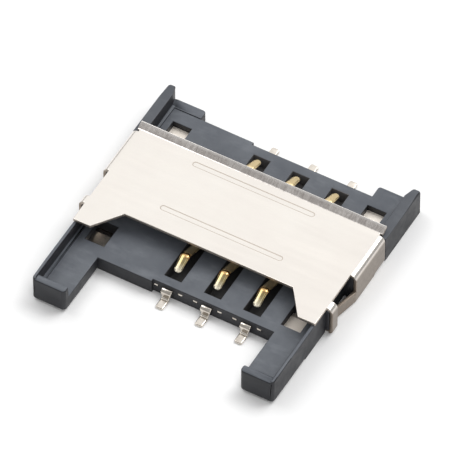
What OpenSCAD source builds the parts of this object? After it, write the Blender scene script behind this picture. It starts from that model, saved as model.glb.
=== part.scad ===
// Low-profile push-pull socket for a small chip card: a moulded housing with six
// insert-moulded contacts, closed over the card by a folded sheet-metal cover.
// X runs along the contact rows, Y from the arms to the card mouth, Z up from the board.
// The origin lies on the board face, on the card's centre line, midway between the two rows.

/* [Card] */
// Width of the card
card_w = 15; // [14.6:0.05:15.6]
// Thickness of the card
card_t = 0.76; // [0.66:0.02:0.9]
// Gap between the card and each side wall
card_side_gap = 0.05; // [0.02:0.01:0.15]
// Gap between the card and the cover
card_top_gap = 0.06; // [0.02:0.01:0.2]

/* [Housing] */
// Thickness of the floor under the card
floor_t = 1; // [0.9:0.02:1.3]
// Height of the ledges that carry the card's long edges
ledge_h = 0.1; // [0.05:0.01:0.2]
// Width of those ledges
ledge_w = 0.2; // [0.1:0.02:0.3]
// Depth of the recesses in the floor's edges that the solder tails leave through
tail_recess = 0.17; // [0.05:0.01:0.25]
// Length of the two arms in front of the floor
arm_len = 3.7; // [2.5:0.1:4.5]
// Gap between the arms and the board
arm_lift = 0.12; // [0.05:0.01:0.25]
// Width of each arm
arm_w = 2.13; // [1.9:0.01:2.2]
// Thickness of the wall along each arm
arm_wall = 0.21; // [0.15:0.01:0.35]
// Thickness of the wall behind each cover flange
side_wall = 0.42; // [0.3:0.01:0.6]
// Thickness of the stop across each arm's end
stop_t = 0.5; // [0.3:0.05:0.8]
// Height of the walls above the stops
stop_drop = 0.1; // [0.05:0.01:0.3]
// Radius of the corners at each arm's end
arm_corner_r = 0.22; // [0.05:0.01:0.4]
// Length of the two corner pads behind the floor
pad_len = 0.65; // [0.4:0.05:1]
// Height of the left pad above the floor
pad_step = 0.06; // [0.02:0.01:0.09]
// Length of the side walls past the pads
wall_over = 0.28; // [0.1:0.02:0.5]
// Radius of the upper corner at each wall's back end
wall_end_r = 0.3; // [0.1:0.02:0.5]
// Widening of the card mouth at each wall
mouth_flare = 0.25; // [0.05:0.01:0.3]
// Length of the widened card mouth
mouth_len = 0.8; // [0.4:0.05:1]
// Width of each corner window
window_w = 1.2; // [0.8:0.05:1.4]
// Length of each corner window
window_l = 1.6; // [1.2:0.05:1.8]
// Floor left between a window and the floor's edge
window_edge = 0.87; // [0.6:0.01:1.1]
// Distance from a window to the line of the arms' inner faces
window_inset = 0.1; // [0.05:0.01:0.2]
// Depth of each window above the foot that rises into it
window_depth = 0.44; // [0.35:0.01:0.5]

/* [Contacts] */
// Distance between neighbouring contacts
contact_pitch = 2.54; // [2.3:0.01:2.7]
// Distance from the card's centre line to the middle contacts
contact_offset = 1.36; // [1:0.01:1.5]
// Distance between the crests of the two rows
crest_spacing = 7.4; // [7:0.02:7.7]
// Height of the crests above the floor
crest_lift = 0.6; // [0.4:0.01:0.7]
// Outer radius of the crests
crest_r = 0.45; // [0.25:0.01:0.6]
// Slope of the nose past a crest, in degrees
nose_slope = 24; // [18:1:32]
// Length of the nose past a crest
nose_len = 0.93; // [0.7:0.01:1.1]
// Thickness of the contact strip
contact_t = 0.15; // [0.1:0.01:0.2]
// Height of the embedded strip above the board
strip_lift = 0.56; // [0.45:0.01:0.65]
// Width of a spring blade up to its crest
blade_w = 0.58; // [0.4:0.02:0.8]
// Width of a blade's tip
tip_w = 0.46; // [0.34:0.02:0.6]
// Radius of a tip's corners
tip_r = 0.14; // [0.05:0.01:0.16]
// Width of a contact slot
slot_w = 1.07; // [0.9:0.01:1.2]
// Gap between a nose and its slot's outer end
nose_room = 0.37; // [0.2:0.01:0.6]
// Length of a contact slot
slot_len = 3.8; // [3.2:0.05:4]
// Thickness of the floor left under a slot
slot_floor = 0.12; // [0.08:0.01:0.2]
// Width of the rails beside a slot
rail_w = 0.3; // [0.2:0.01:0.35]
// Plastic between a slot and the rails
rail_inset = 0.1; // [0.05:0.01:0.12]
// Width of the bar that joins two rails
bar_w = 0.4; // [0.3:0.01:0.5]
// Plastic between the outer bar and the face that the tail leaves through
bar_edge = 0.1; // [0.05:0.01:0.2]
// Length of the cut rail ends that stand out of the floor's edge
stub_len = 0.03; // [0.01:0.01:0.08]
// Width of a solder tail where it leaves the floor
tail_w = 0.68; // [0.5:0.02:0.8]
// Width of a tail's foot
tail_foot_w = 0.5; // [0.4:0.02:0.6]
// Length of a solder tail outside the floor's edge
tail_len = 1.05; // [0.85:0.05:1.5]
// Straight part of a tail before it bends down
tail_neck = 0.04; // [0.02:0.01:0.2]
// Inner radius of a tail's two bends
tail_bend_r = 0.11; // [0.05:0.01:0.14]
// Radius of the corners at a tail's end
tail_corner_r = 0.12; // [0.05:0.01:0.18]
// Gap of the moulding around the embedded strips
insert_gap = 0.01; // [0.005:0.005:0.02]

/* [Cover] */
// Thickness of the cover sheet
sheet_t = 0.2; // [0.15:0.01:0.22]
// Gap between the cover and the housing sides
wrap_gap = 0.03; // [0.02:0.01:0.05]
// Gap between the cover and the top of the walls
seat_gap = 0.02; // [0.01:0.01:0.05]
// Distance from the row centre line to the fold of the back lip
cover_back = 2.68; // [2.4:0.02:2.9]
// Distance from the row centre line to the ends of the front prongs
cover_front = 4.88; // [4.6:0.02:5.2]
// Depth of the cut-out between the prongs
cutout_depth = 1.73; // [1.3:0.01:1.9]
// Half width of the cut-out at its back
cutout_half = 5.43; // [5:0.01:5.6]
// Width of a prong's end
prong_w = 1.1; // [0.8:0.02:1.3]
// Outer radius of the long folds
fold_r = 0.4; // [0.3:0.01:0.5]
// Outer radius of the folds at the feet
foot_fold_r = 0.25; // [0.24:0.01:0.3]
// Gap between the back lip and the flanges
corner_relief = 0.13; // [0.08:0.01:0.3]
// Length of a side flange
flange_len = 3.35; // [3:0.05:3.5]
// Height of a flange's lower edge above the board
flange_lift = 0.05; // [0.02:0.01:0.15]
// Length of the slit between a flange and its front tab
slit_len = 2.15; // [2:0.05:2.3]
// Length of a front tab
tab_len = 0.6; // [0.4:0.02:0.7]
// Slope of the back lip, in degrees
lip_slope = 30; // [15:1:40]
// Length of the back lip past its fold
lip_len = 0.45; // [0.3:0.01:0.6]
// Inner radius of the back lip's fold
lip_fold_r = 0.15; // [0.1:0.01:0.3]
// Distance from the lip's ends to the folds of the flanges
lip_over = 0.15; // [0.05:0.01:0.25]
// Inward slope of the side springs, in degrees
spring_slope = 13; // [8:1:15]
// Length of a side spring past its fold
spring_len = 1.5; // [1:0.05:1.6]
// Height of a side spring's upper edge above the board
spring_top = 0.85; // [0.6:0.05:1]
// Inner radius of a side spring's fold
spring_fold_r = 0.2; // [0.1:0.02:0.3]
// Room left in the housing behind a side spring
spring_room = 0.25; // [0.1:0.01:0.3]
// Width of the back feet where they leave the flanges
foot_w = 1.2; // [0.8:0.05:1.5]
// Overlap of a foot with the floor around its window
foot_lap = 0.2; // [0.1:0.01:0.25]
// Length of the ramp by which a foot rises into its window
foot_ramp = 0.4; // [0.3:0.01:0.5]
// Length of the stiffening beads
bead_len = 7.9; // [6:0.1:9]
// Width of a stiffening bead
bead_w = 0.38; // [0.25:0.01:0.5]
// Depth of a stiffening bead
bead_depth = 0.05; // [0.02:0.01:0.06]
// Distance from the back bead to the lip's fold
bead_back_inset = 0.68; // [0.5:0.02:0.9]
// Distance from the front bead to the cut-out
bead_front_inset = 1.46; // [0.6:0.02:1.8]

/* [Hidden] */
$fn = 48;
// Places of the three contacts in a row, counted from the middle one
LEFT = -1;
MIDDLE = 0;
RIGHT = 1;
// The two rows, by the way their tails point
FRONT = -1;
BACK = 1;
// How far a cutting shape runs past what it cuts
cut = 1;
// Steps round a contact's crest
crest_steps = 12;

// Heights of the stack: ledge, card, cover
ledge_top = floor_t + ledge_h;
cover_under = ledge_top + card_t + card_top_gap;
cover_top = cover_under + sheet_t;
wall_top = cover_under - seat_gap;
stop_top = wall_top - stop_drop;
fold_in_r = fold_r - sheet_t;

// Half widths, from the card outwards
channel_half = card_w / 2 + card_side_gap;
arm_out = channel_half + arm_wall;
arm_in = arm_out - arm_w;
side_out = channel_half + side_wall;
cover_out = side_out + wrap_gap + sheet_t;
cover_flat = cover_out - fold_r;

// Places along the depth, from a row's crests out to the floor's edge
crest_u = crest_spacing / 2;
nose_end = crest_u + crest_r * sin(nose_slope) + nose_len * cos(nose_slope);
slot_reach = nose_end + nose_room;
slot_in = slot_reach - slot_len;
bar_out = slot_reach + rail_inset;
tail_face = bar_out + bar_w + bar_edge;
floor_reach = tail_face + tail_recess;
arm_front = -floor_reach - arm_len;
pad_back = floor_reach + pad_len;
wall_back = pad_back + wall_over;
flange_back = cover_back - corner_relief;
flange_front = flange_back - flange_len;
tab_back = flange_front - slit_len;
tab_front = tab_back - tab_len;
cutout_back = -cover_front + cutout_depth;
side_front = tab_front - wrap_gap;
side_back = flange_back + wrap_gap;

// Corner windows and the feet under them
window_in = arm_in + window_inset;
window_out = window_in + window_w;
window_far = floor_reach - window_edge;
foot_in = window_in - foot_lap;
foot_out = window_out + foot_lap;
foot_far = window_far + foot_lap;
foot_rise = floor_t - window_depth - wrap_gap - sheet_t;
foot_bend = sheet_t * tan(atan2(foot_rise, foot_ramp) / 2);

// Side springs
spring_pivot_x = cover_out - sheet_t - spring_fold_r;
spring_tip_in = spring_pivot_x + spring_fold_r * cos(spring_slope) - spring_len * sin(spring_slope);
notch_in = spring_tip_in - spring_room;

// Contact strip, seen from the side with the tail pointing along the first axis
strip_top = strip_lift + contact_t;
rail_in = slot_w / 2 + rail_inset;
rail_out = rail_in + rail_w;
crest_mid_z = floor_t + crest_lift - crest_r;
root_u = slot_in + contact_t;
root_span = sqrt(pow(crest_u - root_u, 2) + pow(crest_mid_z - strip_top, 2));
rise_len = sqrt(pow(root_span, 2) - pow(crest_r, 2));
rise_slope = atan2(crest_mid_z - strip_top, crest_u - root_u) + asin(crest_r / root_span);
tail_bend_out = tail_bend_r + contact_t;
tail_fold_u = tail_face + tail_neck;
tail_foot_u = tail_fold_u + tail_bend_out + tail_bend_r;
tail_end = tail_face + tail_len;
recess_left = contact_x(LEFT) - rail_out - 2 * insert_gap;

function contact_x(place) = contact_offset + place * contact_pitch;

module both_sides() {
    children();
    mirror([1, 0, 0]) children();
}

module both_ends() {
    children();
    mirror([0, 1, 0]) children();
}

// Flat ring piece between two radii and two angles less than half a turn apart
module ring_sector(inner_r, outer_r, from, to) {
    far = 2 * outer_r;
    middle = (from + to) / 2;
    intersection() {
        difference() {
            circle(outer_r);
            circle(inner_r);
        }
        polygon([[0, 0], far * [cos(from), sin(from)], far * [cos(middle), sin(middle)],
            far * [cos(to), sin(to)]]);
    }
}

// What a rounded corner takes off a square corner at the origin
module corner_waste(r) {
    difference() {
        translate([-r, -r]) square([r + cut, r + cut]);
        translate([-r, -r]) circle(r);
        translate([-r - cut, -2 * r - cut]) square([cut, 3 * r + 3 * cut]);
        translate([-2 * r - cut, -r - cut]) square([3 * r + 3 * cut, cut]);
    }
}

// Section in X and Z, drawn out along Y from one place to another
module along_y(from, to) {
    translate([0, to, 0]) rotate([90, 0, 0]) linear_extrude(to - from) children();
}

// Section in Y and Z, drawn out evenly to both sides of the X centre
module along_x(width) {
    translate([-width / 2, 0, 0]) rotate([90, 0, 90]) linear_extrude(width) children();
}

module span(x_from, x_to, y_from, y_to) {
    translate([x_from, y_from]) square([x_to - x_from, y_to - y_from]);
}

// Plan of one arm, with its two front corners rounded
module arm_plan() {
    difference() {
        span(arm_in, arm_out, arm_front, -tail_face);
        translate([arm_out, arm_front]) rotate(-90) corner_waste(arm_corner_r);
        translate([arm_in, arm_front]) rotate(180) corner_waste(arm_corner_r);
    }
}

module floor_plan() {
    difference() {
        span(-arm_out, arm_out, -floor_reach, floor_reach);
        both_ends() span(recess_left, arm_in, tail_face, floor_reach + cut);
    }
    both_sides() {
        arm_plan();
        span(arm_in, side_out, side_front, side_back);
        span(arm_in, cover_out, side_back, pad_back);
    }
}

// Plan of one side wall: thin along the arm, thicker behind the flange, widest at the mouth
module wall_plan() {
    difference() {
        union() {
            intersection() {
                arm_plan();
                span(channel_half, arm_out, arm_front, -floor_reach);
            }
            span(channel_half, arm_out, -floor_reach, side_front);
            span(channel_half, side_out, side_front, side_back);
            span(channel_half, cover_out, side_back, wall_back);
        }
        polygon([[channel_half - cut, wall_back - mouth_len], [channel_half, wall_back - mouth_len],
            [channel_half + mouth_flare, wall_back], [channel_half + mouth_flare, wall_back + cut],
            [channel_half - cut, wall_back + cut]]);
    }
}

module side_wall_solid() {
    difference() {
        linear_extrude(wall_top) wall_plan();
        // Room for the inside of the cover's long fold
        along_y(side_front - cut, side_back)
            translate([side_out, wall_top]) corner_waste(fold_in_r);
        // Rounded upper corner at the card mouth
        translate([cover_out, 0, 0]) along_x(2 * cover_out)
            translate([wall_back, wall_top]) corner_waste(wall_end_r);
    }
}

module stops_and_ledges() {
    linear_extrude(stop_top) intersection() {
        arm_plan();
        span(arm_in, arm_out, arm_front, arm_front + stop_t);
    }
    linear_extrude(ledge_top)
        span(channel_half - ledge_w, channel_half, arm_front + stop_t, wall_back - mouth_len);
}

// Pocket under the housing for one foot: shallow where it folds in, deep where it rises
module foot_pocket(fold_from, fold_to, far) {
    translate([0, 0, -cut]) {
        linear_extrude(cut + sheet_t + wrap_gap)
            span(foot_in - wrap_gap, cover_out + cut, fold_from - wrap_gap, fold_to + wrap_gap);
        linear_extrude(cut + foot_rise + sheet_t + wrap_gap)
            span(foot_in - wrap_gap, foot_out + wrap_gap, fold_to - foot_bend - wrap_gap, far + wrap_gap);
    }
}

module foot_pockets() {
    foot_pocket(flange_back - foot_w, flange_back, foot_far);
    mirror([0, 1, 0]) foot_pocket(-tab_back, -tab_front, foot_far);
}

// One foot of the cover: in from the fold along the board, then up a ramp into the window
module foot(fold_from, fold_to, far) {
    linear_extrude(sheet_t) span(foot_in, cover_out - foot_fold_r, fold_from, fold_to - foot_bend);
    translate([(foot_in + foot_out) / 2, 0, 0]) along_x(foot_out - foot_in)
        polygon([[fold_from, 0], [fold_to, 0], [fold_to + foot_ramp, foot_rise], [far, foot_rise],
            [far, foot_rise + sheet_t], [fold_to + foot_ramp - foot_bend, foot_rise + sheet_t],
            [fold_to - foot_bend, sheet_t], [fold_from, sheet_t]]);
}

// Flat part of a contact strip in plan, grown by a gap for the moulding around it
module strip_plan(gap) {
    both_sides() span(rail_in - gap, rail_out + gap, slot_in - bar_w - gap, tail_face + stub_len);
    span(-rail_out - gap, rail_out + gap, slot_in - bar_w - gap, slot_in + gap);
    span(-rail_out - gap, rail_out + gap, bar_out - gap, bar_out + bar_w + gap);
    span(-tail_w / 2 - gap, tail_w / 2 + gap, bar_out, tail_fold_u);
}

// Slot over the blade and the moulded seat of the strip, in the place of one contact
module contact_seat() {
    translate([0, 0, slot_floor])
        linear_extrude(floor_t) span(-slot_w / 2, slot_w / 2, slot_in, slot_reach);
    translate([0, 0, strip_lift - insert_gap])
        linear_extrude(contact_t + 2 * insert_gap) strip_plan(insert_gap);
}

module at_contact(row, place) {
    translate([contact_x(place), 0, 0]) mirror([0, row == FRONT ? 1 : 0, 0]) children();
}

module housing() {
    color("#5b5e66") difference() {
        union() {
            linear_extrude(floor_t) floor_plan();
            both_sides() {
                side_wall_solid();
                stops_and_ledges();
            }
            linear_extrude(floor_t + pad_step) span(-channel_half, -arm_in, floor_reach, pad_back);
        }
        both_sides() {
            translate([0, 0, -cut]) linear_extrude(cut + arm_lift)
                span(arm_in - cut, arm_out + cut, arm_front - cut, -floor_reach);
            translate([0, 0, -cut]) linear_extrude(wall_top + 2 * cut) {
                span(notch_in, cover_out + cut, tab_back + wrap_gap, flange_front + wrap_gap);
                both_ends() span(window_in, window_out, window_far - window_l, window_far);
            }
            foot_pockets();
        }
        for (row = [FRONT, BACK], place = [LEFT, MIDDLE, RIGHT]) at_contact(row, place) contact_seat();
    }
}

// Points along a crest at a radius, from the rise over to the nose
function crest_arc(r) = [for (step = [0:crest_steps])
    let (turn = 90 + rise_slope - step * (rise_slope + nose_slope) / crest_steps)
    [crest_u + r * cos(turn), crest_mid_z + r * sin(turn)]];

// End of the nose at a radius from the crest's centre
function nose_tip(r) = [crest_u + r * sin(nose_slope) + nose_len * cos(nose_slope),
    crest_mid_z + r * cos(nose_slope) - nose_len * sin(nose_slope)];

function turned_round(points) = [for (i = [len(points) - 1:-1:0]) points[i]];

// Blade seen from the side: a straight rise, a rounded crest and a falling nose
module blade_side() {
    crest_in_r = crest_r - contact_t;
    polygon(concat(
        [[slot_in - contact_t, strip_top], [root_u, strip_top]],
        crest_arc(crest_r),
        [nose_tip(crest_r), nose_tip(crest_in_r)],
        turned_round(crest_arc(crest_in_r)),
        [[root_u + contact_t * tan(rise_slope / 2), strip_lift], [slot_in - contact_t, strip_lift]]));
}

// Tail seen from the side: out of the floor's edge, down in two bends, out along the board
module tail_side() {
    span(bar_out, tail_fold_u, strip_lift, strip_top);
    translate([tail_fold_u, strip_lift - tail_bend_r]) ring_sector(tail_bend_r, tail_bend_out, 0, 90);
    span(tail_fold_u + tail_bend_r, tail_fold_u + tail_bend_out, tail_bend_out, strip_lift - tail_bend_r);
    translate([tail_foot_u, tail_bend_out]) ring_sector(tail_bend_r, tail_bend_out, 180, 270);
    span(tail_foot_u, tail_end, 0, contact_t);
}

// Tail seen from its end: full width at the floor's edge, narrowing down to the foot
module tail_front() {
    polygon([[-tail_foot_w / 2, 0], [tail_foot_w / 2, 0], [tail_foot_w / 2, tail_bend_out],
        [tail_w / 2, strip_lift], [tail_w / 2, strip_top], [-tail_w / 2, strip_top],
        [-tail_w / 2, strip_lift], [-tail_foot_w / 2, tail_bend_out]]);
}

module tail() {
    difference() {
        intersection() {
            along_x(tail_w) tail_side();
            along_y(bar_out, tail_end) tail_front();
        }
        translate([0, 0, -cut]) linear_extrude(cut + strip_lift) both_sides()
            translate([tail_foot_w / 2, tail_end]) corner_waste(tail_corner_r);
    }
}

// Blade in plan: straight to the crest, tapering to a tip with rounded corners
module blade_plan() {
    shoulder = nose_end - tip_r;
    polygon([[-blade_w / 2, 0], [blade_w / 2, 0], [blade_w / 2, crest_u], [tip_w / 2, shoulder],
        [-tip_w / 2, shoulder], [-blade_w / 2, crest_u]]);
    span(-tip_w / 2 + tip_r, tip_w / 2 - tip_r, shoulder - tip_r, nose_end);
    both_sides() translate([tip_w / 2 - tip_r, shoulder]) circle(tip_r);
}

// One contact at the row centre line, its tail pointing along Y
module contact_strip() {
    translate([0, 0, strip_lift]) linear_extrude(contact_t) strip_plan(0);
    tail();
    intersection() {
        along_x(blade_w) blade_side();
        linear_extrude(cover_top) blade_plan();
    }
}

module contact(row, place) {
    color("#cdb57c") at_contact(row, place) contact_strip();
}

module contact_front_left() {
    contact(FRONT, LEFT);
}

module contact_front_middle() {
    contact(FRONT, MIDDLE);
}

module contact_front_right() {
    contact(FRONT, RIGHT);
}

module contact_back_left() {
    contact(BACK, LEFT);
}

module contact_back_middle() {
    contact(BACK, MIDDLE);
}

module contact_back_right() {
    contact(BACK, RIGHT);
}

// Right half of the cover's flat top
module top_half_plan() {
    polygon([[0, cutout_back], [cutout_half, cutout_back], [cover_flat - prong_w, -cover_front],
        [cover_flat, -cover_front], [cover_flat, cover_back], [0, cover_back]]);
}

// Section of the long fold and the flange below it
module flange_section(low) {
    translate([cover_flat, cover_top - fold_r]) ring_sector(fold_in_r, fold_r, 0, 90);
    span(cover_out - sheet_t, cover_out, low, cover_top - fold_r);
}

// The same with the fold of a foot at its lower end
module footed_section() {
    flange_section(foot_fold_r);
    translate([cover_out - foot_fold_r, foot_fold_r])
        ring_sector(foot_fold_r - sheet_t, foot_fold_r, -90, 0);
}

module lip_section() {
    translate([cover_back, cover_top + lip_fold_r]) {
        ring_sector(lip_fold_r, lip_fold_r + sheet_t, -90, lip_slope - 90);
        rotate(lip_slope) translate([0, -lip_fold_r - sheet_t]) square([lip_len, sheet_t]);
    }
}

module spring_plan() {
    translate([spring_pivot_x, flange_front]) {
        ring_sector(spring_fold_r, spring_fold_r + sheet_t, -spring_slope, 0);
        rotate(-spring_slope) translate([spring_fold_r, -spring_len]) square([sheet_t, spring_len]);
    }
}

module bead_plan(y) {
    straight = bead_len - bead_w;
    translate([-straight / 2, y - bead_w / 2]) square([straight, bead_w]);
    both_sides() translate([straight / 2, y]) circle(bead_w / 2);
}

module bead_plans() {
    bead_plan(cutout_back + bead_front_inset);
    bead_plan(cover_back - bead_back_inset);
}

// One side of the cover: flange, front tab, side spring and the two feet
module cover_side() {
    along_y(flange_front, flange_back - foot_w) flange_section(flange_lift);
    along_y(flange_back - foot_w, flange_back) footed_section();
    along_y(tab_front, tab_back) footed_section();
    foot(flange_back - foot_w, flange_back, foot_far);
    mirror([0, 1, 0]) foot(-tab_back, -tab_front, foot_far);
    translate([0, 0, flange_lift]) linear_extrude(spring_top - flange_lift) spring_plan();
}

module cover() {
    color("#f0ebe4") difference() {
        union() {
            translate([0, 0, cover_under]) linear_extrude(sheet_t) both_sides() top_half_plan();
            translate([0, 0, cover_under - bead_depth]) linear_extrude(sheet_t) bead_plans();
            along_x(2 * (cover_flat + lip_over)) lip_section();
            both_sides() cover_side();
        }
        translate([0, 0, cover_top - bead_depth]) linear_extrude(cut) bead_plans();
    }
}

housing();
cover();
contact_front_left();
contact_front_middle();
contact_front_right();
contact_back_left();
contact_back_middle();
contact_back_right();
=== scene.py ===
import math

import bmesh
import bpy
from mathutils import Matrix, Vector
from mathutils.bvhtree import BVHTree


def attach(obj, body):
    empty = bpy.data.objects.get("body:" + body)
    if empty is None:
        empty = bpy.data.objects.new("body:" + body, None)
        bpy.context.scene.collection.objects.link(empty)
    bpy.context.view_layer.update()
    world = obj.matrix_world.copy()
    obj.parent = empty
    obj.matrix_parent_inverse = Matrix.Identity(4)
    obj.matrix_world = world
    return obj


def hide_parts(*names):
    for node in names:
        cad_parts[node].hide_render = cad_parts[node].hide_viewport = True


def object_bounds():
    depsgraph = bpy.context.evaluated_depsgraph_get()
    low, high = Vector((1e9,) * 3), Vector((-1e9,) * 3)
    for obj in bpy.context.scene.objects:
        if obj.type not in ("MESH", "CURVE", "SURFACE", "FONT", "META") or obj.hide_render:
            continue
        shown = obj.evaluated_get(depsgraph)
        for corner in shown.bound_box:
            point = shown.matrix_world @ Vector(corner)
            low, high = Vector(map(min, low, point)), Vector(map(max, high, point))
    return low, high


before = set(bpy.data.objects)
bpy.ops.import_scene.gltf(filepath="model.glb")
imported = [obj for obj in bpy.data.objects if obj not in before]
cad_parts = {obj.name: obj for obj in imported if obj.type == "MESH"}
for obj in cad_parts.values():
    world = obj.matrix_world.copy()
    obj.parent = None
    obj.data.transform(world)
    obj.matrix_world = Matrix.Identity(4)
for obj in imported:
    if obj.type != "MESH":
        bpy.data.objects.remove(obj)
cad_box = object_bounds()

# All sizes are written in millimetres and multiplied by MM, because the frame is in metres.
MM = 0.001

# The photograph's camera: where it stands round the socket and how far away
CAMERA_AZIMUTH = math.radians(29.49)
CAMERA_ELEVATION = math.radians(50.18)
CAMERA_DISTANCE = 460.7 * MM
CAMERA_RIGHT = -0.344 * MM
CAMERA_UP = 0.199 * MM
CAMERA_LIFT = 0.3 * MM
PHOTO_WIDTH_PX = 460
FOCAL_PX = 8151.6
SENSOR_MM = 36.0

# The studio
FLOOR_HALF = 600 * MM
PAPER_WHITE = (0.95, 0.95, 0.95, 1)
PAPER_ROUGHNESS = 0.9
SKY_STRENGTH = 0.41

# Small radii that moulding and stamping leave along the edges
PLASTIC_EDGE = 0.055 * MM
CORNER_EDGE = 0.17 * MM
ARM_EDGE = 0.13 * MM
SHEET_EDGE = 0.03 * MM
BLADE_EDGE = 0.062 * MM

# Edges that turn by more than the sharp angle are rounded, and shaded sharp past the smooth one.
# Faces that turn by less than the flat angle are joined.
SHARP_ANGLE = math.radians(28)
FLAT_ANGLE = math.radians(0.6)
SMOOTH_ANGLE = math.radians(40)

# Points closer together than these become one before the edges are rounded
PLASTIC_MERGE = 0.004 * MM
SHEET_MERGE = 0.0003 * MM
STRIP_MERGE = 0.007 * MM

# Small lengths that tell places apart
TINY = 0.002 * MM
CUT_SLACK = TINY / 10
NO_LENGTH = TINY / 100
RIM_SLACK = 10 * TINY
TAIL_SLACK = 5 * TINY
SHORT_EDGE = 0.012 * MM

# The moulding: the strips' seats, the back pads, the arms' ends and the floor, the tilt of an upper face,
# and the share of its length that an edge along the back corners may run aside
SEAT_LOW, SEAT_HIGH = 0.54 * MM, 0.73 * MM
PAD_BACK = 6.4 * MM
ARM_END = -8.9 * MM
FLOOR_LEVEL = 0.9 * MM
UPWARD = 0.3
ASIDE_SHARE = 0.1

# The folded sheet: its beads, what counts as more than its thickness, and cuts that part its long faces
BEAD_FLOOR = 2.07 * MM
BEAD_ROWS = (-1.69 * MM, 2.0 * MM)
BEAD_STRAIGHT = 3.76 * MM
BEAD_HALF = 0.19 * MM
BEAD_SLOPE = 0.055 * MM
BEAD_EASE = 0.028 * MM
SHEET_BACK = 0.27 * MM
SHEET_CUTS = (-3.45 * MM, -3.05 * MM, -0.70 * MM, 2.45 * MM)

# The strips: the blade with its crown, the nose with its round tip, and where the tail leaves the moulding
STRIP_TOP = 0.71 * MM
BLADE_ROOT = 0.80 * MM
BLADE_HALF = 0.29 * MM
BLADE_CROWN = 0.055 * MM
BLADE_UPWARD = 0.5
CROWN_PARTS = 8
NOSE_SLOPE = math.radians(24)
NOSE_END = 4.733 * MM
NOSE_TOP = 1.183 * MM
TIP_ROUND = 0.24 * MM
TIP_STEPS = 6
TIP_TURN = math.radians(80)
TIP_CORNER_SHARE = 0.4
TAIL_FACE = 5.70 * MM

# Where one colour or finish gives way to another, painted light and shade among them: the place where the
# change begins and the place where it is complete
SLOT_END = (5.35 * MM, 5.25 * MM)
SLOT_SIDE = (5.2 * MM, 5.1 * MM)
WALL_TOP = (1.3 * MM, 1.5 * MM)
MIDDLE = (-1 * MM, 1 * MM)
BACK_ROW = (1 * MM, 2 * MM)
FRONT_ROW = (-1 * MM, -2 * MM)
LIP_FOLD = (2.64 * MM, 2.72 * MM)
LIP_RIM = (2.98 * MM, 3.12 * MM)
FLANGE_TOP = (1.97 * MM, 1.74 * MM)
FLANGE_SIDE = (7.55 * MM, 7.70 * MM)
FOOT_TOP = (0.8 * MM, 0.7 * MM)
FOOT_SIDE = (7.5 * MM, 7.3 * MM)
BLADE_INSIDE = (3.55 * MM, 3.40 * MM)
BLADE_CREST = (4.00 * MM, 3.80 * MM)
NOSE_TIP = (4.15 * MM, 4.75 * MM)
SLOT_WALL = (5.10 * MM, 5.00 * MM)
TIN_START = (5.25 * MM, 5.35 * MM)


def new_material(name):
    """An empty node material, with its tree, its shader and its Object coordinates."""
    finish = bpy.data.materials.new(name)
    finish.use_nodes = True
    tree = finish.node_tree
    shader = tree.nodes["Principled BSDF"]
    place = tree.nodes.new("ShaderNodeTexCoord")
    return finish, tree, shader, place.outputs["Object"]


def grain(tree, place, scale, detail=4.0, roughness=0.6, stretch=(1, 1, 1)):
    """A noise on Object coordinates, stretched along an axis where the grain has a direction."""
    mapping = tree.nodes.new("ShaderNodeMapping")
    mapping.inputs["Scale"].default_value = stretch
    tree.links.new(place, mapping.inputs["Vector"])
    noise = tree.nodes.new("ShaderNodeTexNoise")
    noise.inputs["Scale"].default_value = scale
    noise.inputs["Detail"].default_value = detail
    noise.inputs["Roughness"].default_value = roughness
    tree.links.new(mapping.outputs["Vector"], noise.inputs["Vector"])
    return noise.outputs["Fac"]


def spread(tree, value, low, high, to_low, to_high):
    """Maps a value from one range to another and holds it there."""
    node = tree.nodes.new("ShaderNodeMapRange")
    node.inputs["From Min"].default_value = low
    node.inputs["From Max"].default_value = high
    node.inputs["To Min"].default_value = to_low
    node.inputs["To Max"].default_value = to_high
    tree.links.new(value, node.inputs["Value"])
    return node.outputs["Result"]


def fade(tree, value, change, most=1):
    """A share that is 0 where the change begins and the most where it is complete."""
    return spread(tree, value, *change, 0, most)


def combined(tree, operation, *values):
    """A Math node's result from values that are numbers or outputs of other nodes."""
    node = tree.nodes.new("ShaderNodeMath")
    node.operation = operation
    for socket, value in zip(node.inputs, values):
        if isinstance(value, (int, float)):
            socket.default_value = value
        else:
            tree.links.new(value, socket)
    return node.outputs["Value"]


def times(tree, first, second):
    """Where two shares meet."""
    return combined(tree, "MULTIPLY", first, second)


def between(tree, share, first, second):
    """Mixes two colours, or colour outputs, by a share."""
    node = tree.nodes.new("ShaderNodeMix")
    node.data_type = "RGBA"
    tree.links.new(share, node.inputs["Factor"])
    for name, colour in (("A", first), ("B", second)):
        socket = [s for s in node.inputs if s.name == name and s.type == "RGBA"][0]
        if isinstance(colour, tuple):
            socket.default_value = colour
        else:
            tree.links.new(colour, socket)
    return [s for s in node.outputs if s.type == "RGBA"][0]


def marked(tree, name):
    """The share that the mesh's own faces carry under a name."""
    node = tree.nodes.new("ShaderNodeAttribute")
    node.attribute_name = name
    return node.outputs["Fac"]


def bump(tree, shader, height, distance, strength):
    """Fine relief on the surface; distance is the height of the relief in metres."""
    node = tree.nodes.new("ShaderNodeBump")
    node.inputs["Distance"].default_value = distance
    node.inputs["Strength"].default_value = strength
    tree.links.new(height, node.inputs["Height"])
    tree.links.new(node.outputs["Normal"], shader.inputs["Normal"])


def srgb(red, green, blue):
    """A colour given as it looks on screen, 0 to 255, as the shader's linear value."""
    linear = []
    for part in (red, green, blue):
        part = part / 255
        linear.append(part / 12.92 if part <= 0.04045 else ((part + 0.055) / 1.055) ** 2.4)
    return (*linear, 1.0)


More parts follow.
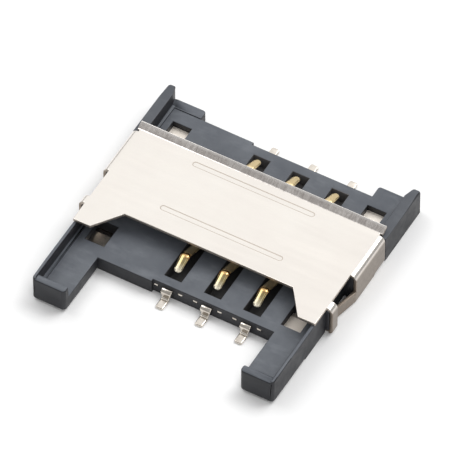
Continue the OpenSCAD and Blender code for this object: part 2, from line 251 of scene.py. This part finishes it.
def place_parts(tree, place):
    """The Object coordinates one by one, then the size of X and of Y whatever the side."""
    split = tree.nodes.new("ShaderNodeSeparateXYZ")
    tree.links.new(place, split.inputs["Vector"])
    parts = split.outputs
    return parts, combined(tree, "ABSOLUTE", parts["X"]), combined(tree, "ABSOLUTE", parts["Y"])


def moulded_plastic():
    """Blue-grey moulding: grain on the upper faces; the drawn faces, those that do not face up, painted
    darker as painted shade, the slot faces among them darker at the front than at the back; painted shade on
    the tops of the back walls.
    """
    finish, tree, shader, place = new_material("moulded_plastic")
    parts, aside, reach = place_parts(tree, place)
    clouds = grain(tree, place, 420, detail=4)
    flow = grain(tree, place, 1500, detail=5, stretch=(0.4, 1, 1))
    fine = grain(tree, place, 16000, detail=3, roughness=0.7)
    cloudy = fade(tree, clouds, (0.35, 0.65))
    # The faces that do not face up are painted darker than the upper faces: painted shade.
    drawn = between(tree, cloudy, srgb(36, 37, 41), srgb(45, 46, 50))
    # In the slot region these faces are darker at the front and paler at the back.
    slot = between(tree, fade(tree, parts["Y"], MIDDLE), srgb(56, 55, 55), srgb(98, 96, 96))
    in_slot = times(tree, fade(tree, reach, SLOT_END), fade(tree, aside, SLOT_SIDE))
    walls = between(tree, in_slot, drawn, slot)
    grained = between(tree, cloudy, srgb(84, 88, 95), srgb(98, 102, 108))
    speck = between(tree, fade(tree, flow, (0.52, 0.75), 0.6), grained, srgb(115, 119, 125))
    # The upper faces of the back walls, above the wall-top height, are painted darker: painted shade.
    back_wall_top_shade = times(tree, fade(tree, parts["Z"], WALL_TOP, 0.45), fade(tree, parts["Y"], BACK_ROW))
    top = between(tree, back_wall_top_shade, speck, srgb(62, 64, 69))
    tree.links.new(between(tree, marked(tree, "upper_face"), walls, top), shader.inputs["Base Color"])
    tree.links.new(spread(tree, flow, 0.3, 0.7, 0.38, 0.55), shader.inputs["Roughness"])
    shader.inputs["Specular IOR Level"].default_value = 0.33
    bump(tree, shader, fine, 0.004 * MM, 0.35)
    return finish


def plated_sheet():
    """Pale plating on rolled sheet: white top, scored lip painted paler towards its rim, with painted shade
    on the fold, flanges painted darker as painted shade, raw cut edges, tinned feet.
    """
    finish, tree, shader, place = new_material("plated_sheet")
    parts, aside, _ = place_parts(tree, place)
    clouds = grain(tree, place, 220, detail=3)
    rolled = grain(tree, place, 2600, detail=4, stretch=(0.06, 1, 1))
    wiped = grain(tree, place, 15000, detail=6, roughness=0.75, stretch=(1, 0.3, 0.3))
    scored = grain(tree, place, 6000, detail=5, roughness=0.7, stretch=(1, 0.25, 0.25))
    stains = grain(tree, place, 1100, detail=5)
    fine = grain(tree, place, 22000, detail=2)
    cloudy = fade(tree, clouds, (0.35, 0.65))
    base = between(tree, cloudy, srgb(243, 238, 231), srgb(239, 233, 226))
    lines = between(tree, fade(tree, rolled, (0.45, 0.75), 0.16), base, srgb(231, 225, 217))
    streak = between(tree, fade(tree, scored, (0.38, 0.64)), srgb(242, 236, 231), srgb(200, 193, 188))
    stained = between(tree, fade(tree, stains, (0.45, 0.7), 0.6), streak, srgb(188, 181, 175))
    # The lip is painted paler towards its rim.
    pale_rim_and_rough_parts = between(tree, fade(tree, parts["Y"], LIP_RIM, 0.85), stained, srgb(252, 248, 244))
    # The lip's streaked colour begins on the fold itself: painted shade that dims the fold's highlight.
    lip = between(tree, fade(tree, parts["Y"], LIP_FOLD), lines, pale_rim_and_rough_parts)
    # The flanges are painted darker: painted shade in place of their dark reflection.
    on_side = times(tree, fade(tree, parts["Z"], FLANGE_TOP), fade(tree, aside, FLANGE_SIDE))
    flange_shade = between(tree, fade(tree, wiped, (0.35, 0.68)), srgb(150, 139, 128), srgb(128, 118, 109))
    side = between(tree, on_side, lip, flange_shade)
    cut = marked(tree, "cut_edge")
    raw = between(tree, fade(tree, cut, (0, 1), 0.75), side, srgb(158, 146, 134))
    on_foot = times(tree, fade(tree, parts["Z"], FOOT_TOP), fade(tree, aside, FOOT_SIDE))
    tinned = between(tree, cloudy, srgb(252, 244, 233), srgb(247, 237, 225))
    tree.links.new(between(tree, on_foot, raw, tinned), shader.inputs["Base Color"])
    not_left_front = combined(tree, "MAXIMUM", fade(tree, parts["X"], MIDDLE), fade(tree, parts["Y"], MIDDLE))
    dulled = times(tree, on_foot, not_left_front)
    tree.links.new(spread(tree, dulled, 0, 1, 1.0, 0.15), shader.inputs["Metallic"])
    satin = spread(tree, rolled, 0.3, 0.7, 0.18, 0.27)
    matt = combined(tree, "MULTIPLY_ADD", dulled, 0.15, satin)
    tree.links.new(combined(tree, "MULTIPLY_ADD", cut, 0.3, matt), shader.inputs["Roughness"])
    bump(tree, shader, fine, 0.0008 * MM, 0.12)
    return finish


def contact_plating():
    """Gold on the blades, warm on the crests; a painted highlight pale on the front tips, painted light paler
    on the back row, painted shade dark on the inner part; tin on the tails.
    """
    finish, tree, shader, place = new_material("contact_plating")
    parts, _, reach = place_parts(tree, place)
    streaks = grain(tree, place, 5200, detail=4, stretch=(1, 0.08, 1))
    spots = grain(tree, place, 2400, detail=3)
    inside = fade(tree, reach, BLADE_INSIDE)
    back_row = fade(tree, parts["Y"], BACK_ROW)
    on_nose = times(tree, fade(tree, reach, NOSE_TIP, 0.8), fade(tree, reach, SLOT_WALL))
    tip = times(tree, on_nose, fade(tree, parts["Y"], FRONT_ROW))
    gold = between(tree, fade(tree, streaks, (0.4, 0.7)), srgb(209, 192, 146), srgb(194, 174, 122))
    warm = between(tree, fade(tree, reach, BLADE_CREST, 0.8), gold, srgb(200, 160, 106))
    # The front noses' tips are painted pale: a painted highlight.
    nose = between(tree, tip, warm, srgb(246, 241, 228))
    # The back row's blades are painted paler: painted light.
    paler = between(tree, back_row, nose, srgb(238, 216, 168))
    # The blade's inner part, towards and under the cover, is painted darker: painted shade.
    shaded_inside = between(tree, inside, paler, srgb(142, 127, 98))
    tin = between(tree, fade(tree, spots, (0.4, 0.65)), srgb(226, 219, 209), srgb(205, 197, 187))
    tree.links.new(between(tree, fade(tree, reach, TIN_START), shaded_inside, tin), shader.inputs["Base Color"])
    tree.links.new(spread(tree, tip, 0, 1, 1, 0.45), shader.inputs["Metallic"])
    pale_rim_and_rough_parts = combined(tree, "MAXIMUM", combined(tree, "MAXIMUM", inside, back_row), tip)
    plain = spread(tree, spots, 0.3, 0.7, 0.1, 0.2)
    tree.links.new(combined(tree, "MULTIPLY_ADD", pale_rim_and_rough_parts, 0.22, plain), shader.inputs["Roughness"])
    bump(tree, shader, streaks, 0.0002 * MM, 0.05)
    return finish


def merged_copy(node, merge):
    """A CAD node's own shape, with doubled points closed and flat faces whole again."""
    shape = bmesh.new()
    shape.from_mesh(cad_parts[node].data)
    bmesh.ops.remove_doubles(shape, verts=shape.verts, dist=merge)
    bmesh.ops.dissolve_limit(shape, angle_limit=FLAT_ANGLE, verts=shape.verts, edges=shape.edges)
    return shape


def ends(edge):
    """Where an edge begins and ends."""
    return edge.verts[0].co, edge.verts[1].co


def round_edges(shape, radius, segments, chosen):
    """Rounds the sharp outward edges that are chosen."""
    edges = [e for e in shape.edges if e.is_manifold and e.is_convex
             and e.calc_face_angle() > SHARP_ANGLE and chosen(e)]
    bmesh.ops.bevel(shape, geom=edges, offset=radius, offset_type="OFFSET", affect="EDGES",
                    segments=segments, profile=0.5, material=-1, clamp_overlap=False)
    bmesh.ops.dissolve_degenerate(shape, dist=NO_LENGTH, edges=shape.edges)
    bmesh.ops.delete(shape, geom=[e for e in shape.edges if not e.link_faces], context="EDGES")


def finished_piece(shape, name, finish, node):
    """Makes the object, shades it smooth between sharp edges and puts it in the frame."""
    mesh = bpy.data.meshes.new(name)
    shape.to_mesh(mesh)
    shape.free()
    mesh.materials.append(finish)
    mesh.shade_smooth()
    mesh.set_sharp_from_angle(angle=SMOOTH_ANGLE)
    piece = bpy.data.objects.new(name, mesh)
    bpy.context.scene.collection.objects.link(piece)
    flat = piece.modifiers.new("flat_faces_stay_flat", "WEIGHTED_NORMAL")
    flat.mode = "FACE_AREA"
    flat.weight = 100
    flat.keep_sharp = True
    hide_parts(node)
    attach(piece, "root")


def housing_moulding(finish):
    """The moulding, rounded everywhere but in the seats that close round the strips."""
    shape = merged_copy("housing", PLASTIC_MERGE)
    upper = shape.faces.layers.float.new("upper_face")
    for face in shape.faces:
        above_floor = face.calc_center_median().z > FLOOR_LEVEL
        face[upper] = 1.0 if face.normal.z > UPWARD and above_floor else 0.0

    def at_back_corner(edge):
        start, end = ends(edge)
        along_wall = abs(start.x - end.x) < ASIDE_SHARE * edge.calc_length()
        return start.y > PAD_BACK and end.y > PAD_BACK and along_wall

    def at_arm_end(edge):
        return all(p.y < ARM_END for p in ends(edge))

    def out_of_seat(edge):
        return not all(SEAT_LOW < p.z < SEAT_HIGH for p in ends(edge))

    round_edges(shape, CORNER_EDGE, 5, at_back_corner)
    round_edges(shape, ARM_EDGE, 4, at_arm_end)
    round_edges(shape, PLASTIC_EDGE, 3, out_of_seat)
    left, right = cad_box[0][0], cad_box[1][0]
    for point in shape.verts:
        point.co.x = max(left, min(right, point.co.x))
    finished_piece(shape, "housing_moulding", finish, "housing")


def mark_cut_faces(shape):
    """Marks the faces that the stamping cut: more than the sheet's thickness lies behind them."""
    layer = shape.faces.layers.float.new("cut_edge")
    solid = BVHTree.FromBMesh(shape)
    for face in shape.faces:
        *_, depth = solid.ray_cast(face.calc_center_median() - face.normal * TINY, -face.normal)
        face[layer] = 1.0 if depth is None or depth > SHEET_BACK else 0.0


def on_bead(point):
    """The nearest point of a bead's centre line, where the point lies on that bead's rim."""
    for row in BEAD_ROWS:
        centre = Vector((max(-BEAD_STRAIGHT, min(BEAD_STRAIGHT, point.x)), row, point.z))
        if abs((point - centre).length - BEAD_HALF) < RIM_SLACK:
            return centre
    return None


def cover_folding(finish):
    """The folded sheet: pressed beads with sloping sides, and rounded edges all round."""
    shape = merged_copy("cover", SHEET_MERGE)
    mark_cut_faces(shape)
    for place in SHEET_CUTS:
        bmesh.ops.bisect_plane(shape, geom=shape.verts[:] + shape.edges[:] + shape.faces[:],
                               dist=CUT_SLACK, plane_co=(0, place, 0), plane_no=(0, 1, 0))
    round_edges(shape, SHEET_EDGE, 3,
                lambda e: e.calc_length() > SHORT_EDGE and on_bead(e.verts[0].co) is None)
    for point in shape.verts:
        centre = on_bead(point.co) if abs(point.co.z - BEAD_FLOOR) < TINY else None
        if centre is not None:
            point.co -= (point.co - centre).normalized() * BEAD_SLOPE
            point.co.z += BEAD_EASE
    finished_piece(shape, "cover_folding", finish, "cover")


def new_tip(shape, way):
    """Cuts the nose short and draws it out again in steps that round the tip in plan."""
    ahead = Vector((0, way * math.cos(NOSE_SLOPE), -math.sin(NOSE_SLOPE)))
    end = Vector((0, way * NOSE_END, NOSE_TOP))
    cut = bmesh.ops.bisect_plane(
        shape, geom=[v for v in shape.verts if v.co.z > STRIP_TOP] +
        [e for e in shape.edges if all(p.z > STRIP_TOP for p in ends(e))] +
        [f for f in shape.faces if all(v.co.z > STRIP_TOP for v in f.verts)],
        dist=CUT_SLACK, plane_co=end - ahead * TIP_ROUND, plane_no=ahead, clear_outer=True)
    rim = [e for e in cut["geom_cut"] if isinstance(e, bmesh.types.BMEdge)]
    tip = bmesh.ops.contextual_create(shape, geom=rim)["faces"][0]
    middle = tip.calc_center_median().x
    width = max(v.co.x for v in tip.verts) - min(v.co.x for v in tip.verts)
    corner = min(TIP_CORNER_SHARE * width, TIP_ROUND)
    gone, across = 0.0, 1.0
    for step in range(1, TIP_STEPS + 1):
        turn = TIP_TURN * step / TIP_STEPS
        reach = TIP_ROUND * math.sin(turn) / math.sin(TIP_TURN)
        wide = 1 - 2 * corner * (1 - math.cos(turn)) / width
        drawn = bmesh.ops.extrude_face_region(shape, geom=[tip])["geom"]
        bmesh.ops.delete(shape, geom=[tip], context="FACES_ONLY")
        points = [g for g in drawn if isinstance(g, bmesh.types.BMVert)]
        tip = [g for g in drawn if isinstance(g, bmesh.types.BMFace)][0]
        bmesh.ops.translate(shape, verts=points, vec=ahead * (reach - gone))
        bmesh.ops.scale(shape, verts=points, vec=(wide / across, 1, 1),
                        space=Matrix.Translation((-middle, 0, 0)))
        gone, across = reach, wide
    bmesh.ops.recalc_face_normals(shape, faces=shape.faces)


def crown_blade(shape):
    """Coins the blade: its upper face falls away a little towards both long edges."""
    on_axis = [v.co.x for v in shape.verts if v.co.z > STRIP_TOP + TINY]
    middle = (min(on_axis) + max(on_axis)) / 2

    def in_width(points):
        return all(abs(p.x - middle) < BLADE_HALF + TINY for p in points)

    def on_blade(points):
        return in_width(points) and any(p.z > STRIP_TOP + TINY for p in points)

    def cut(place, normal):
        edges = [e for e in shape.edges if in_width(ends(e))]
        faces = [f for f in shape.faces if on_blade([v.co for v in f.verts])]
        bmesh.ops.bisect_plane(shape, geom=edges + faces, dist=CUT_SLACK, plane_co=place, plane_no=normal)

    cut((0, 0, BLADE_ROOT), (0, 0, 1))
    for step in range(1, CROWN_PARTS):
        share = 2 * step / CROWN_PARTS - 1
        cut((middle + share * BLADE_HALF, 0, 0), (1, 0, 0))
    shape.normal_update()
    for point in shape.verts:
        if point.co.z > STRIP_TOP + TINY and any(f.normal.z > BLADE_UPWARD for f in point.link_faces):
            point.co.z -= BLADE_CROWN * ((point.co.x - middle) / BLADE_HALF) ** 2


def contact_strip(node, name, way, finish):
    """One strip, with its edges rounded on the blade and the tail, which stand clear of the moulding."""
    shape = merged_copy(node, STRIP_MERGE)
    new_tip(shape, way)
    crown_blade(shape)

    def stands_clear(point):
        return point.z > STRIP_TOP + TINY or abs(point.y) > TAIL_FACE + TAIL_SLACK

    round_edges(shape, BLADE_EDGE, 4, lambda e: all(stands_clear(p) for p in ends(e)))
    finished_piece(shape, name, finish, node)


def photo_camera():
    """A camera at the photograph's place, with its view axis, right and up."""
    level = math.cos(CAMERA_ELEVATION)
    back = Vector((math.sin(CAMERA_AZIMUTH) * level, -math.cos(CAMERA_AZIMUTH) * level,
                   math.sin(CAMERA_ELEVATION)))
    right = Vector((math.cos(CAMERA_AZIMUTH), math.sin(CAMERA_AZIMUTH), 0))
    up = back.cross(right)
    data = bpy.data.cameras.new("photo_camera")
    data.sensor_width = SENSOR_MM
    data.lens = FOCAL_PX * SENSOR_MM / PHOTO_WIDTH_PX
    data.clip_start = 10 * MM
    data.clip_end = 10.0
    camera = bpy.data.objects.new("photo_camera", data)
    bpy.context.scene.collection.objects.link(camera)
    place = back * CAMERA_DISTANCE + right * CAMERA_RIGHT + up * CAMERA_UP
    place.z += CAMERA_LIFT
    camera.matrix_world = Matrix.Translation(place) @ Matrix((right, up, back)).transposed().to_4x4()
    bpy.context.scene.camera = camera


def soft_box(name, size, radiance, place):
    """A square soft lamp that looks at the socket; its panel is as bright as radiance says."""
    data = bpy.data.lights.new(name, "AREA")
    data.shape = "SQUARE"
    data.size = size * MM
    data.energy = radiance * math.pi * data.size ** 2
    lamp = bpy.data.objects.new(name, data)
    bpy.context.scene.collection.objects.link(lamp)
    lamp.location = Vector(place) * MM
    lamp.rotation_euler = (-lamp.location).to_track_quat("-Z", "Y").to_euler()


def studio():
    """Pale floor that keeps the shadow, white background, and soft boxes round the socket."""
    ground = bmesh.new()
    bmesh.ops.create_grid(ground, x_segments=1, y_segments=1, size=FLOOR_HALF)
    mesh = bpy.data.meshes.new("studio_floor")
    ground.to_mesh(mesh)
    ground.free()
    paper = bpy.data.materials.new("white_paper")
    paper.use_nodes = True
    shader = paper.node_tree.nodes["Principled BSDF"]
    shader.inputs["Base Color"].default_value = PAPER_WHITE
    shader.inputs["Roughness"].default_value = PAPER_ROUGHNESS
    mesh.materials.append(paper)
    floor = bpy.data.objects.new("studio_floor", mesh)
    bpy.context.scene.collection.objects.link(floor)
    world = bpy.data.worlds.new("studio_world")
    world.use_nodes = True
    sky = world.node_tree.nodes["Background"]
    sky.inputs["Color"].default_value = (1, 1, 1, 1)
    sky.inputs["Strength"].default_value = SKY_STRENGTH
    bpy.context.scene.world = world
    soft_box("back_box", 420, 0.60, (-100, 177, 244))
    soft_box("fold_box", 170, 0.75, (155, 205, 280))
    soft_box("high_box", 180, 4.5, (85, 150, 282))
    soft_box("left_box", 180, 1.9, (-192, 12, 262))
    soft_box("right_box", 330, 0.85, (210, -190, 230))


housing_moulding(moulded_plastic())
cover_folding(plated_sheet())
plating = contact_plating()
for row, way in (("front", -1), ("back", 1)):
    for side in ("left", "middle", "right"):
        contact_strip(f"contact_{row}_{side}", f"strip_{row}_{side}", way, plating)

photo_camera()
studio()
bpy.context.scene.view_settings.view_transform = "Standard"
